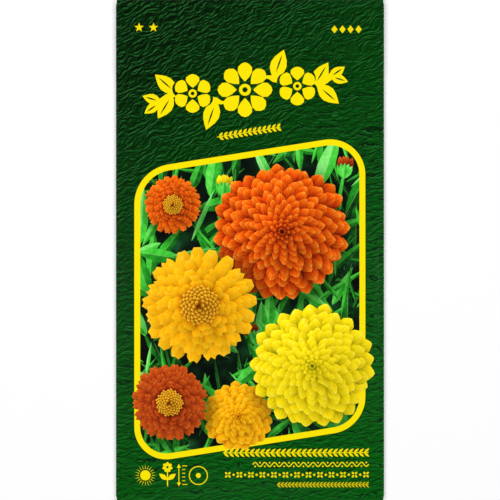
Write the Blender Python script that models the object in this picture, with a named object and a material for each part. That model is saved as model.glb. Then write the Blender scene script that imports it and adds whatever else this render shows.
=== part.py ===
"""A paper seed packet, closed and full, lying on its back.

One sheet of coated paper makes the whole packet. Two side flaps turn in behind the front panel, the back
panel folds up from the bottom edge and is glued to them, and the closure flap folds over from the top edge
and is glued to the back panel. The seeds lie loose in the pocket.

Metres. +Z points out of the front panel, +Y to the packet's top, and the origin is the middle of the
rectangle that it covers, at the height of the surface under it.
"""

import math
import random

import bmesh
import bpy
from mathutils import Matrix, Vector

# The packet
WIDTH = 0.080
HEIGHT = 0.150
PAPER = 0.00013
BULGE = 0.0023
SIDE_FLAP = 0.011
FLAP_SLANT_START = 0.062
CLOSURE_FLAP = 0.019
BACK_PANEL_SHORT = 0.0025
CORNER_NOTCH = 0.0010
SIDE_FOLD_RADIUS = 0.00015

# The adhesive, and the play that every layer keeps to the next
GLUE = 0.00004
PLAY = 0.00003
SIDE_GLUE_WIDTH = 0.0065
CLOSURE_GLUE_WIDTH = 0.0065
GLUE_END = 0.0030

# The seeds
SEED_COUNT = 48
SEED_BODY = 0.0072
SEED_TUFT = 0.0030
SEED_WIDTH = 0.00105
SEED_THICKNESS = 0.00080
SEED_BED_WIDTH = 0.052
SEED_BED_HEIGHT = 0.050

# What follows from these
LAYER = PAPER + GLUE + 2 * PLAY
BOTTOM_FOLD_RADIUS = SIDE_FOLD_RADIUS + LAYER / 2
TOP_FOLD_RADIUS = SIDE_FOLD_RADIUS + LAYER
SIDE_CREASE = WIDTH / 2 - SIDE_FOLD_RADIUS - PAPER / 2
BOTTOM_CREASE = HEIGHT / 2 - BOTTOM_FOLD_RADIUS - PAPER / 2
TOP_CREASE = HEIGHT / 2 - TOP_FOLD_RADIUS - PAPER / 2
STEP_END = HEIGHT / 2 - CLOSURE_FLAP - 0.0008
STEP_START = STEP_END - 0.0060
BACK_PANEL_END = HEIGHT / 2 - BACK_PANEL_SHORT


def start_empty():
    for old in list(bpy.data.objects):
        bpy.data.objects.remove(old, do_unlink=True)


def material(name, colour, roughness):
    made = bpy.data.materials.new(name)
    made.use_nodes = True
    shader = made.node_tree.nodes["Principled BSDF"]
    shader.inputs["Base Color"].default_value = (*colour, 1)
    shader.inputs["Roughness"].default_value = roughness
    shader.inputs["Metallic"].default_value = 0
    made.diffuse_color = (*colour, 1)
    return made


def add_object(name, mesh_builder, finish):
    mesh = bpy.data.meshes.new(name)
    mesh_builder.to_mesh(mesh)
    mesh_builder.free()
    mesh.materials.append(finish)
    made = bpy.data.objects.new(name, mesh)
    bpy.context.scene.collection.objects.link(made)
    return made


def thicken(made, thickness):
    wall = made.modifiers.new("wall", "SOLIDIFY")
    wall.thickness = thickness
    wall.offset = 0
    wall.use_even_offset = True


def smooth_ramp(value, start, end):
    part = min(1, max(0, (value - start) / (end - start)))
    return part * part * (3 - 2 * part)


def stops(start, end, count):
    """Values from start to just before end, so that runs of them can be joined."""
    return [start + (end - start) * i / count for i in range(count)]


# Heights of the paper's middle layer. Everything over the closure flap is one layer higher.


def layer_step(y):
    return LAYER * smooth_ramp(y, STEP_START, STEP_END)


def back_height(y):
    return PAPER / 2 + layer_step(y)


def flap_height(y):
    return back_height(y) + LAYER


def fullness(x, y):
    """From 0 at the folds to 1 over the seeds, which lie low in the pocket."""
    across = 1 - abs(x / SIDE_CREASE) ** 4
    rise = 1 - (1 - min(1, (y + BOTTOM_CREASE) / 0.030)) ** 2.4
    fall = 0.5 + 0.5 * math.cos(math.pi * max(0, y + 0.022) / (TOP_CREASE + 0.022))
    return across * rise * fall


def front_height(x, y):
    return flap_height(y) + 2 * SIDE_FOLD_RADIUS + BULGE * fullness(x, y)


def folded(u, v):
    """Where a point of the flat sheet lies once it is folded. (0, 0) is the middle of the front panel."""
    side = math.copysign(1, u)
    past_side = abs(u) - SIDE_CREASE
    if past_side > 1e-9:
        edge = front_height(SIDE_CREASE, v)
        turn = past_side / SIDE_FOLD_RADIUS
        if turn <= math.pi:
            x = SIDE_CREASE + SIDE_FOLD_RADIUS * math.sin(turn)
            return side * x, v, edge - SIDE_FOLD_RADIUS * (1 - math.cos(turn))
        inward = past_side - math.pi * SIDE_FOLD_RADIUS
        cut_back = 0.3 * max(0, abs(v) - FLAP_SLANT_START) * inward / SIDE_FLAP
        y = v - math.copysign(cut_back, v)
        return side * (SIDE_CREASE - inward), y, flap_height(y)
    if v < -BOTTOM_CREASE:
        past = -v - BOTTOM_CREASE
        turn = past / BOTTOM_FOLD_RADIUS
        if turn <= math.pi:
            y = -BOTTOM_CREASE - BOTTOM_FOLD_RADIUS * math.sin(turn)
            z = front_height(u, -BOTTOM_CREASE) - BOTTOM_FOLD_RADIUS * (1 - math.cos(turn))
            return u, y, z
        upward = past - math.pi * BOTTOM_FOLD_RADIUS
        y = upward - BOTTOM_CREASE
        narrowing = 1 - 0.020 * upward / HEIGHT
        return u * narrowing, y, back_height(y)
    if v > TOP_CREASE:
        past = v - TOP_CREASE
        turn = past / TOP_FOLD_RADIUS
        if turn <= math.pi:
            y = TOP_CREASE + TOP_FOLD_RADIUS * math.sin(turn)
            z = front_height(u, TOP_CREASE) - TOP_FOLD_RADIUS * (1 - math.cos(turn))
            return u, y, z
        downward = past - math.pi * TOP_FOLD_RADIUS
        narrowing = 1 - 0.07 * (downward / CLOSURE_FLAP) ** 2
        return u * narrowing, TOP_CREASE - downward, PAPER / 2
    return u, v, front_height(u, v)


def sheet_columns():
    fold = math.pi * SIDE_FOLD_RADIUS
    right = stops(SIDE_CREASE, SIDE_CREASE + fold, 6)
    right += stops(SIDE_CREASE + fold, SIDE_CREASE + fold + SIDE_FLAP, 2)
    right.append(SIDE_CREASE + fold + SIDE_FLAP)
    left = [-u for u in reversed(right)]
    return left[:-1] + stops(-SIDE_CREASE, SIDE_CREASE, 16) + right


def sheet_rows():
    bottom_fold = math.pi * BOTTOM_FOLD_RADIUS
    top_fold = math.pi * TOP_FOLD_RADIUS
    back_start = BOTTOM_CREASE + bottom_fold
    back = stops(BACK_PANEL_END, STEP_END, 3) + stops(STEP_END, STEP_START, 6)
    back += stops(STEP_START, -BOTTOM_CREASE, 9)
    rows = [-(y + BOTTOM_CREASE) - back_start for y in back]
    rows += stops(-back_start, -BOTTOM_CREASE, 8)
    rows += [-BOTTOM_CREASE]
    rows += stops(CORNER_NOTCH - BOTTOM_CREASE, STEP_START, 18)
    rows += stops(STEP_START, STEP_END, 6)
    rows += stops(STEP_END, TOP_CREASE - CORNER_NOTCH, 3)
    rows += [TOP_CREASE - CORNER_NOTCH]
    rows += stops(TOP_CREASE, TOP_CREASE + top_fold, 8)
    closure_end = TOP_CREASE + top_fold + CLOSURE_FLAP - HEIGHT / 2 + TOP_CREASE
    return rows + stops(TOP_CREASE + top_fold, closure_end, 4) + [closure_end]


def on_sheet(u, v):
    """Whether the flat sheet covers this place: it has the outline of a cross."""
    beside_front = abs(v + (BOTTOM_CREASE - TOP_CREASE) / 2) < (BOTTOM_CREASE + TOP_CREASE) / 2 - CORNER_NOTCH
    return abs(u) < SIDE_CREASE or beside_front


def make_sheet(finish):
    builder = bmesh.new()
    columns, rows = sheet_columns(), sheet_rows()
    corners = {}

    def corner(i, j):
        if (i, j) not in corners:
            corners[i, j] = builder.verts.new(folded(columns[i], rows[j]))
        return corners[i, j]

    for j in range(len(rows) - 1):
        for i in range(len(columns) - 1):
            if on_sheet((columns[i] + columns[i + 1]) / 2, (rows[j] + rows[j + 1]) / 2):
                builder.faces.new([corner(i, j), corner(i + 1, j), corner(i + 1, j + 1), corner(i, j + 1)])
    made = add_object("packet_sheet", builder, finish)
    made.data.shade_smooth()
    thicken(made, PAPER)


def make_glue_strip(name, start, end, width, height_at, finish):
    """A flat strip with round ends from start to end, as high as height_at says at each of its rows."""
    builder = bmesh.new()
    start, end = Vector(start), Vector(end)
    along = (end - start).normalized()
    across = Vector((-along.y, along.x)) * width / 2
    length = (end - start).length
    end_places = [GLUE_END * (1 - math.cos(math.pi / 2 * i / 4)) for i in range(1, 5)]
    places = end_places + [length - place for place in reversed(end_places)]
    if along.y:
        places += [y - start.y for y in stops(STEP_START, STEP_END, 6) + [STEP_END]]
    places.sort()
    rows = []
    for place in places:
        to_end = min(place, length - place, GLUE_END) / GLUE_END
        reach = math.sqrt(1 - (1 - to_end) ** 2)
        centre = start + along * place
        edges = [centre + across * reach * side for side in (1, 0, -1)]
        rows.append([builder.verts.new((edge.x, edge.y, height_at(edge.y))) for edge in edges])
    for near, far in zip(rows, rows[1:]):
        for k in range(2):
            builder.faces.new([near[k], near[k + 1], far[k + 1], far[k]])
    made = add_object(name, builder, finish)
    thicken(made, GLUE)


def make_glue(finish):
    side_x = SIDE_CREASE - SIDE_FLAP / 2 - 0.0002
    side_end = TOP_CREASE - 0.0070

    def under_flap(y):
        return (back_height(y) + flap_height(y)) / 2

    for name, side in (("side_glue_left", -1), ("side_glue_right", 1)):
        start, end = (side * side_x, -side_end), (side * side_x, side_end)
        make_glue_strip(name, start, end, SIDE_GLUE_WIDTH, under_flap, finish)
    closure_y = HEIGHT / 2 - CLOSURE_FLAP + 0.0015 + CLOSURE_GLUE_WIDTH / 2
    reach = WIDTH / 2 - 0.0080
    start, end = (-reach, closure_y), (reach, closure_y)
    make_glue_strip("closure_glue", start, end, CLOSURE_GLUE_WIDTH, lambda y: PAPER / 2 + LAYER / 2, finish)


def seed_mesh(finish):
    """A slim six-sided fruit along +X with two papery scales at its upper end, centred on its length."""
    builder = bmesh.new()
    foot = -(SEED_BODY + SEED_TUFT) / 2
    profile = ((0, 0.30), (0.30, 0.75), (0.80, 1.0), (1.0, 0.80))
    rings = []
    for along, size in profile:
        half_y, half_z = size * SEED_WIDTH / 2, size * SEED_THICKNESS / 2
        section = ((-1, 0), (-0.4, -1), (0.4, -1), (1, 0), (0.4, 1), (-0.4, 1))
        x = foot + along * SEED_BODY
        rings.append([builder.verts.new((x, a * half_y, b * half_z)) for a, b in section])
    for near, far in zip(rings, rings[1:]):
        for k in range(6):
            builder.faces.new([near[k], far[k], far[k - 5], near[k - 5]])
    builder.faces.new(rings[0])
    top = rings[-1]
    left = builder.faces.new([top[0], top[1], top[4], top[5]])
    right = builder.faces.new([top[1], top[2], top[3], top[4]])
    grown = bmesh.ops.extrude_discrete_faces(builder, faces=[left, right])["faces"]
    for scale in grown:
        side = math.copysign(1, scale.calc_center_median().y)
        centre = scale.calc_center_median()
        bmesh.ops.scale(builder, verts=scale.verts, vec=(1, 0.35, 0.30), space=Matrix.Translation(-centre))
        bmesh.ops.translate(builder, verts=scale.verts, vec=(SEED_TUFT, side * SEED_WIDTH * 0.22, 0))
    bmesh.ops.recalc_face_normals(builder, faces=builder.faces)
    mesh = bpy.data.meshes.new("seed")
    builder.to_mesh(mesh)
    builder.free()
    mesh.materials.append(finish)
    return mesh


def ends_of(seed):
    x, y, angle, _ = seed
    reach = Vector((math.cos(angle), math.sin(angle))) * (SEED_BODY + SEED_TUFT) / 2
    return Vector((x, y)) - reach, Vector((x, y)) + reach


def distance_between(one, other):
    """The least distance between two seeds' middle lines, seen from above."""
    a, b = ends_of(one)
    c, d = ends_of(other)
    return min((a.lerp(b, i / 12) - c.lerp(d, j / 12)).length for i in range(13) for j in range(13))


def fits_under_front(seed, height):
    a, b = ends_of(seed)
    places = [a.lerp(b, i / 4) for i in range(5)]
    inside = all(abs(place.x) < SEED_BED_WIDTH / 2 and place.y > 0.0035 - BOTTOM_CREASE for place in places)
    top = height + SEED_THICKNESS / 2 + PLAY
    return inside and all(front_height(place.x, place.y) - PAPER / 2 > top for place in places)


def carried(seed, lower):
    """Whether seeds below cross this one on both sides of its middle, so that it lies level on them."""
    a, b = ends_of(seed)
    sides = set()
    for other in lower:
        c, d = ends_of(other)
        for i in range(25):
            place = a.lerp(b, i / 24)
            if abs(i - 12) > 2 and min((place - c.lerp(d, j / 12)).length for j in range(3, 10)) < SEED_WIDTH * 0.3:
                sides.add(i > 12)
    return len(sides) == 2


def lay_seeds():
    """Two layers of seeds, the lower on the back panel and the upper across them, denser to the bottom."""
    draw = random.Random(31)
    first_height = PAPER + PLAY + SEED_THICKNESS / 2
    heights = (first_height, first_height + SEED_THICKNESS + PLAY)
    layers = ([], [])
    wanted = (SEED_COUNT - SEED_COUNT // 4, SEED_COUNT // 4)
    for layer in (0, 1):
        while len(layers[layer]) < wanted[layer]:
            x = draw.uniform(-0.5, 0.5) * SEED_BED_WIDTH
            y = SEED_BED_HEIGHT * draw.random() ** 1.3 - BOTTOM_CREASE + 0.004
            seed = (x, y, draw.uniform(0, math.tau), heights[layer])
            if not fits_under_front(seed, heights[layer]):
                continue
            if any(distance_between(seed, other) < SEED_WIDTH * 1.25 for other in layers[layer]):
                continue
            if layer == 1 and not carried(seed, layers[0]):
                continue
            layers[layer].append(seed)
    return layers[0] + layers[1]


def make_seeds(finish):
    mesh = seed_mesh(finish)
    for number, (x, y, angle, height) in enumerate(lay_seeds(), 1):
        made = bpy.data.objects.new(f"seed_{number:02d}", mesh)
        made.location = (x, y, height)
        made.rotation_euler = (0, 0, angle)
        bpy.context.scene.collection.objects.link(made)


start_empty()
make_sheet(material("coated_paper", (0.010, 0.090, 0.012), 0.35))
make_glue(material("dried_adhesive", (0.80, 0.74, 0.60), 0.45))
make_seeds(material("seed_husk", (0.030, 0.024, 0.020), 0.60))
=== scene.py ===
"""A flat paper seed packet, closed and full, lying on its back on a pale table, seen from straight above."""

import cmath
import math
import random
from functools import partial
from types import SimpleNamespace

import bmesh
import bpy
import numpy as np
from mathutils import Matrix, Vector
from mathutils.bvhtree import BVHTree
from mathutils.geometry import delaunay_2d_cdt


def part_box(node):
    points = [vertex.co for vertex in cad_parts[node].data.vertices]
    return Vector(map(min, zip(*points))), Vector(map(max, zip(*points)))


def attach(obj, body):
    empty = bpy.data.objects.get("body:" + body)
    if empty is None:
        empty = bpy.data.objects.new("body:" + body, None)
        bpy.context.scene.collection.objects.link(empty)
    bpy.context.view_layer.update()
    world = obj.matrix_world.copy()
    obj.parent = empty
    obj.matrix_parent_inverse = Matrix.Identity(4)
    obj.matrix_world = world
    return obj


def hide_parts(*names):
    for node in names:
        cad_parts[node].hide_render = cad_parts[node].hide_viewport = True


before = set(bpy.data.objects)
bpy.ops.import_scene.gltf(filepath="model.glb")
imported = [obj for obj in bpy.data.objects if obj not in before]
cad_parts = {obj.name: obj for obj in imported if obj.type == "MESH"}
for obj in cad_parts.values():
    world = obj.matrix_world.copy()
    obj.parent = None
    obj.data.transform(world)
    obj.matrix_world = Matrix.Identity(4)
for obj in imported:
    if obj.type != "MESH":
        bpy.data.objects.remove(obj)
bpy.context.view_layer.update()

# The table and the light
# A plain white table top under four soft lamps that stand low round it. None of them is mirrored into the
# camera by a flat glossy sheet, so the dark inks stay deep.
TABLE_SIZE = 6
TABLE_GAP = 0.00005
LAMP_HEIGHT = 0.8
LAMP_SIZE = 0.7
LAMPS = {
    "lamp_left": (-1, 0.35, 8.6),
    "lamp_right": (1, 0.25, 7.4),
    "lamp_near": (-0.2, -1.1, 7.4),
    "lamp_far": (0.1, 1.1, 7.4),
}


def linear(code):
    """The linear colour of an sRGB hex value."""
    parts = [int(code[i : i + 2], 16) / 255 for i in (1, 3, 5)]
    return (*[c / 12.92 if c <= 0.04045 else ((c + 0.055) / 1.055) ** 2.4 for c in parts], 1)


def node(material, kind, *feeds, stops=(), out=0, **settings):
    """Adds a node, such as "Math ADD", and gives one of its outputs. Feeds fill its open inputs in order.

    A setting in small letters is the node's own, and one with a capital letter is an input's name. What goes
    into an input is a value or another node's output.
    """
    kind, *operation = kind.split()
    made = material.node_tree.nodes.new("ShaderNode" + kind)
    if operation:
        made.operation = operation[0]
    for name in filter(str.islower, settings):
        setattr(made, name, settings[name])
    named = [(made.inputs[name], value) for name, value in settings.items() if not name.islower()]
    open_inputs = [socket for socket in made.inputs if socket.enabled]
    for socket, value in [*zip(open_inputs, feeds), *named]:
        if isinstance(value, bpy.types.NodeSocket):
            material.node_tree.links.new(value, socket)
        else:
            socket.default_value = value
    for place, code in stops:
        ramp = made.color_ramp.elements
        stop = ramp[0] if place == stops[0][0] else ramp[-1] if place == stops[-1][0] else ramp.new(place)
        stop.position, stop.color = place, linear(code)
    return made.outputs[out] if made.outputs else None


def new_material(name):
    """An empty material, and what adds nodes to it."""
    made = bpy.data.materials.new(name)
    made.use_nodes = True
    made.node_tree.nodes.clear()
    return made, partial(node, made)


def surface(add, colour, roughness, specular, bump=None):
    """Ends a material in a plain surface that isn't metal. Colour, roughness and bump may be sockets."""
    inputs = {"Base Color": colour, "Roughness": roughness, "Specular IOR Level": specular}
    if bump:
        inputs["Normal"] = bump
    add("OutputMaterial", add("BsdfPrincipled", **inputs))


scene = bpy.context.scene
bpy.ops.mesh.primitive_plane_add(size=TABLE_SIZE, location=(0, 0, -TABLE_GAP))
table = bpy.context.object
table.name = "table_top"
table_paint, add = new_material("matt white table paint")
surface(add, linear("#fbfbfb"), 0.9, 0.1)
table.data.materials.append(table_paint)

for name, (x, y, watts) in LAMPS.items():
    bpy.ops.object.light_add(type="AREA", location=(x, y, LAMP_HEIGHT))
    lamp = bpy.context.object
    lamp.name = name
    lamp.rotation_euler = Vector((x, y, LAMP_HEIGHT)).to_track_quat("Z", "Y").to_euler()
    lamp.data.shape = "DISK"
    lamp.data.size = LAMP_SIZE
    lamp.data.energy = watts
world = bpy.data.worlds.new("pale room")
world.use_nodes = True
background = world.node_tree.nodes["Background"].inputs
background["Color"].default_value = linear("#ffffff")
background["Strength"].default_value = 0.07
scene.world = world
scene.view_settings.view_transform = "Standard"

# The camera looks straight down, from so near that the packet's height just overfills the picture.
PACKET_HEIGHT = 0.15
FRONT_LEVEL = 0.0007
SEEN_HEIGHT = 0.995 * PACKET_HEIGHT
bpy.ops.object.camera_add(rotation=(0, 0, 0))
camera = bpy.context.object
camera.data.sensor_width = 36
camera.data.lens = 180
camera.location.z = FRONT_LEVEL + SEEN_HEIGHT * camera.data.lens / camera.data.sensor_width
camera.data.clip_start = 0.01
scene.camera = camera

# The folded sheet
# One sheet of wood-free paper, 0.13 mm thick, coated and printed on its outer side. It is cut to a cross,
# creased and folded round flat, so here it is drawn flat in millimetres and then folded as the CAD sheet is.
WIDTH = 80
HEIGHT = 1000 * PACKET_HEIGHT
PAPER = 0.13
GLUE_AND_PLAY = 0.1
BULGE = 2.3
BULGE_RISE = 30
BULGE_TOP = -22
SIDE_FLAP = 11
SIDE_FLAP_SLANT = 0.3
FLAP_SLANT_START = 62
CLOSURE_FLAP = 19
CLOSURE_TAPER = 0.07
BACK_PANEL_SHORT = 2.5
BACK_PANEL_TAPER = 0.02
CORNER_NOTCH = 1
SIDE_FOLD_RADIUS = 0.15
LAYER = PAPER + GLUE_AND_PLAY
BOTTOM_FOLD_RADIUS = SIDE_FOLD_RADIUS + LAYER / 2
TOP_FOLD_RADIUS = SIDE_FOLD_RADIUS + LAYER
SIDE_CREASE = WIDTH / 2 - SIDE_FOLD_RADIUS - PAPER / 2
BOTTOM_CREASE = HEIGHT / 2 - BOTTOM_FOLD_RADIUS - PAPER / 2
TOP_CREASE = HEIGHT / 2 - TOP_FOLD_RADIUS - PAPER / 2
STEP_GAP = 0.8
STEP_LENGTH = 6
STEP_END = HEIGHT / 2 - CLOSURE_FLAP - STEP_GAP
STEP_START = STEP_END - STEP_LENGTH
SIDE_FOLD = math.pi * SIDE_FOLD_RADIUS
BOTTOM_FOLD = math.pi * BOTTOM_FOLD_RADIUS
TOP_FOLD = math.pi * TOP_FOLD_RADIUS
SIDE_EDGE = SIDE_CREASE + SIDE_FOLD + SIDE_FLAP
SIDE_FLAP_LOW = CORNER_NOTCH - BOTTOM_CREASE
SIDE_FLAP_HIGH = TOP_CREASE - CORNER_NOTCH
BACK_END = -BOTTOM_CREASE - BOTTOM_FOLD - (HEIGHT / 2 - BACK_PANEL_SHORT + BOTTOM_CREASE)
CLOSURE_END = TOP_CREASE + TOP_FOLD + CLOSURE_FLAP - HEIGHT / 2 + TOP_CREASE


def layer_step(y):
    """How far the layers over the closure flap are lifted by it."""
    part = min(1, max(0, (y - STEP_START) / (STEP_END - STEP_START)))
    return LAYER * part * part * (3 - 2 * part)


def front_height(x, y):
    """The front panel's height. It bulges over the seeds, which lie low in the pocket."""
    across = 1 - abs(x / SIDE_CREASE) ** 4
    rise = 1 - (1 - min(1, (y + BOTTOM_CREASE) / BULGE_RISE)) ** 2.4
    fall = 0.5 + 0.5 * math.cos(math.pi * max(0, y - BULGE_TOP) / (TOP_CREASE - BULGE_TOP))
    return PAPER / 2 + layer_step(y) + LAYER + 2 * SIDE_FOLD_RADIUS + BULGE * across * rise * fall


def past_crease(way, radius):
    """For a way past a crease: the reach out of the fold, the drop, and the way back along the flap."""
    turn = min(way / radius, math.pi)
    return radius * math.sin(turn), radius * (1 - math.cos(turn)), way - radius * turn


def folded(u, v):
    """Where the middle of the paper lies, folded, for a place on the flat sheet."""
    if abs(u) - SIDE_CREASE > 1e-6:
        reach, drop, inward = past_crease(abs(u) - SIDE_CREASE, SIDE_FOLD_RADIUS)
        cut_back = SIDE_FLAP_SLANT * max(0, abs(v) - FLAP_SLANT_START) * inward / SIDE_FLAP
        y = v - math.copysign(cut_back, v)
        return math.copysign(SIDE_CREASE + reach - inward, u), y, front_height(SIDE_CREASE, y) - drop
    if v < -BOTTOM_CREASE:
        reach, drop, upward = past_crease(-v - BOTTOM_CREASE, BOTTOM_FOLD_RADIUS)
        y = upward - reach - BOTTOM_CREASE
        narrowing = 1 - BACK_PANEL_TAPER * upward / HEIGHT
        return u * narrowing, y, front_height(u, -BOTTOM_CREASE) - drop + layer_step(y)
    if v > TOP_CREASE:
        reach, drop, downward = past_crease(v - TOP_CREASE, TOP_FOLD_RADIUS)
        narrowing = 1 - CLOSURE_TAPER * (downward / CLOSURE_FLAP) ** 2
        return u * narrowing, TOP_CREASE + reach - downward, front_height(u, TOP_CREASE) - drop
    return u, v, front_height(u, v)


def outward(u, v):
    """The printed side's normal, measured over a very short way towards the sheet's middle."""
    reach_u, reach_v = math.copysign(1e-4, -u), math.copysign(1e-4, -v)
    here = np.array(folded(u, v))
    along_u = (np.array(folded(u + reach_u, v)) - here) / reach_u
    along_v = (np.array(folded(u, v + reach_v)) - here) / reach_v
    normal = np.cross(along_u, along_v)
    return normal / np.linalg.norm(normal)


# The inks
# Offset inks on gloss-coated paper: thin and even, with a soft sheen, worn to the white paper only where
# the sheet is creased. Each reads the flat sheet's millimetres, or a petal's or leaf's own length and width.


def sheet_material(name):
    """A material of the sheet, what adds nodes to it, and the place on the flat sheet in millimetres."""
    made, add = new_material(name)
    return made, add, add("Attribute", attribute_name="flat_mm", out="Vector")


def own_shape(add):
    """Along, across and tone of the petal, leaf or mark, and how much light reaches it."""
    shape = add("Attribute", attribute_name="own_shape", out="Vector")
    light = add("Attribute", attribute_name="daylight", out="Fac")
    return (*add("SeparateXYZ", shape, out=slice(3)), light)


def printed(add, place, colour, light=None):
    """The finish of all inks: their light, a faint crack of bare paper along the creases, and a soft sheen.

    The crack breaks up every 0.4 mm and the sheen drifts over 3 mm. The paper's fibres show through the
    coating 0.3 mm apart, which is some ten times their real width, so that they show at all.
    """
    if light:
        colour = add("HueSaturation", Value=light, Color=colour)
    u, v, _ = add("SeparateXYZ", place, out=slice(3))
    side = SIDE_CREASE + SIDE_FOLD / 2
    low, high = -BOTTOM_CREASE - BOTTOM_FOLD / 2, TOP_CREASE + TOP_FOLD / 2
    nearest = None
    for along, crease in ((u, side), (u, -side), (v, low), (v, high)):
        gap = add("Math ABSOLUTE", add("Math SUBTRACT", along, crease))
        nearest = add("Math MINIMUM", nearest, gap) if nearest else gap
    worn = add("TexNoise", place, Scale=2.4, Detail=4)
    worn = add("Math MULTIPLY_ADD", worn, 1.1, -0.62)
    worn = add("Math SUBTRACT", worn, nearest)
    worn = add("Math MULTIPLY", worn, 2.2, use_clamp=True)
    colour = add("Mix", worn, colour, linear("#d9dccb"), data_type="RGBA", out=2)
    cloud = add("TexNoise", place, Scale=0.35, Detail=2)
    roughness = add("Math MULTIPLY_ADD", cloud, 0.08, 0.26)
    fibre = add("TexNoise", place, Scale=3.2, Detail=3)
    bump = add("Bump", Strength=0.25, Distance=0.000012, Height=fibre)
    surface(add, colour, roughness, 0.2, bump)


# The ground is a print of grained leather in bottle green: ridges 3 to 6 mm long and about 1 mm apart, lit
# from the upper left. They climb to the right at the top of the sheet and lie flatter lower down.
ground, add, place = sheet_material("bottle green leather-grain print")
u, v, _ = add("SeparateXYZ", place, out=slice(3))


def ridges(turn, length, spacing, lit_from):
    """How far the printed grain faces the light, for ridges that lie at a turn from the horizontal."""
    heights = []
    for shift in ((0, 0, 0), lit_from):
        moved = add("VectorMath ADD", place, shift)
        level = add("VectorRotate", moved, Angle=-turn, rotation_type="Z_AXIS")
        swell = add("TexNoise", level, Scale=0.16, Detail=1)
        lift = add("Math MULTIPLY_ADD", swell, 5, -2.5)
        lift = add("CombineXYZ", 0, lift)
        waved = add("VectorMath ADD", level, lift)
        drawn = add("Mapping", waved, Scale=(1 / length, 1 / spacing, 1))
        heights.append(add("TexNoise", drawn, Scale=1, Detail=4, Roughness=0.58))
    slope = add("Math SUBTRACT", *heights)
    return add("Math MULTIPLY_ADD", slope, 4, 0.46)


steep = ridges(math.radians(29), 2.7, 0.85, (-0.13, 0.22, 0))
level = ridges(math.radians(9), 3.3, 1.05, (-0.07, 0.24, 0))
down = add("Math MULTIPLY", u, 0.85)
down = add("Math SUBTRACT", down, v)
down = add("Math MULTIPLY_ADD", down, 0.0075, 0.62)
down = add("Math SMOOTH_MIN", down, 1, 0.3, use_clamp=True)
patches = add("TexNoise", place, Scale=0.06, Detail=2)
flatter = add("Math SUBTRACT", down, 1.05)
flatter = add("Math MULTIPLY_ADD", patches, 1.2, flatter)
flatter = add("Math MULTIPLY_ADD", flatter, 4, 0.5, use_clamp=True)
lit = add("Math SUBTRACT", level, steep)
lit = add("Math MULTIPLY_ADD", lit, flatter, steep)
shaded = [(0.2, "#000c00"), (0.42, "#001b01"), (0.57, "#002903"), (0.72, "#084211"), (0.94, "#24622c")]
sunny = [(0.16, "#003a06"), (0.4, "#004f08"), (0.56, "#01580b"), (0.76, "#045f10"), (0.96, "#12681d")]
dark_green = add("ValToRGB", lit, stops=shaded)
bright_green = add("ValToRGB", lit, stops=sunny)
leather = add("Mix", down, dark_green, bright_green, data_type="RGBA", out=2)

# The cracks lie in wavy rows 2.2 mm apart, nearly level and most of them low on the sheet. Each is 2 to 5 mm
# long, thins out to both ends, and has a faintly lit lip below it.
drift = add("Mapping", place, Scale=(0.1, 0.16, 1))
drift = add("TexNoise", drift, Scale=1, Detail=4, Roughness=0.55)
rows = add("Math MULTIPLY", u, -0.05)
rows = add("Math MULTIPLY_ADD", v, 0.45, rows)
rows = add("Math MULTIPLY_ADD", drift, 3.4, rows)
rows = add("Math FRACT", rows)
width = add("Mapping", place, Scale=(0.22, 0.5, 1))
width = add("TexNoise", width, Scale=1, Detail=2)
width = add("Math MULTIPLY_ADD", width, 5.4, -1.95, use_clamp=True)
wider_high_up = add("Math MULTIPLY_ADD", v, 0.0055, 1.05)
width = add("Math MULTIPLY", width, wider_high_up)
width = add("Math MULTIPLY", width, flatter)
crack = add("Math MULTIPLY", width, 0.26)
crack = add("Math SUBTRACT", crack, rows)
crack = add("Math MULTIPLY_ADD", crack, 9, 0.3, use_clamp=True)
crack_end = add("Math MULTIPLY", width, 4, use_clamp=True)
crack = add("Math MULTIPLY", crack, crack_end)
crack = add("Math MULTIPLY", crack, 0.95)
lip = add("Math MULTIPLY_ADD", rows, 5, -4, use_clamp=True)
lip = add("Math MULTIPLY", lip, width)
lip = add("Math MULTIPLY", lip, 0.35)
leather = add("Mix", lip, leather, linear("#2c7c38"), data_type="RGBA", out=2)
leather = add("Mix", crack, leather, linear("#001f04"), data_type="RGBA", out=2)
printed(add, place, leather)


def plain_ink(name, code):
    """An even ink, darkened a little by its own tone, with the press's faint mottle of 0.8 mm."""
    made, add, place = sheet_material(name)
    mottle = add("TexNoise", place, Scale=1.2, Detail=2)
    value = add("Math MULTIPLY_ADD", mottle, 0.1, 0.95)
    value = add("Math MULTIPLY", value, own_shape(add)[2])
    printed(add, place, linear(code), value)
    return made


def petal_ink(name, shades, relief=1):
    """A petal's colours from its hidden foot to its tip, with veins, a lit side and a shaded side."""
    made, add, place = sheet_material(name + ", four-colour print")
    along, across, tone, light_left = own_shape(add)
    streak = add("CombineXYZ", across, along, tone)
    streak = add("VectorMath MULTIPLY", streak, (2.6, 0.9, 40))
    veins = add("TexNoise", streak, Scale=2.6, Detail=4)
    where = add("Math MULTIPLY_ADD", veins, 0.46, -0.23)
    where = add("Math ADD", where, along)
    colour = add("ValToRGB", where, stops=shades)
    light = add("Math MULTIPLY_ADD", across, 0.2, 0.62)
    light = add("Math MULTIPLY_ADD", tone, 0.62, light)
    rim = add("Math POWER", add("Math ABSOLUTE", across), 5)
    light = add("Math MULTIPLY_ADD", rim, -0.22, light)
    light = add("Math MULTIPLY_ADD", light, relief, 1 - relief)
    light = add("Math MULTIPLY", light, light_left)
    printed(add, place, colour, light)
    return made


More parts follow.
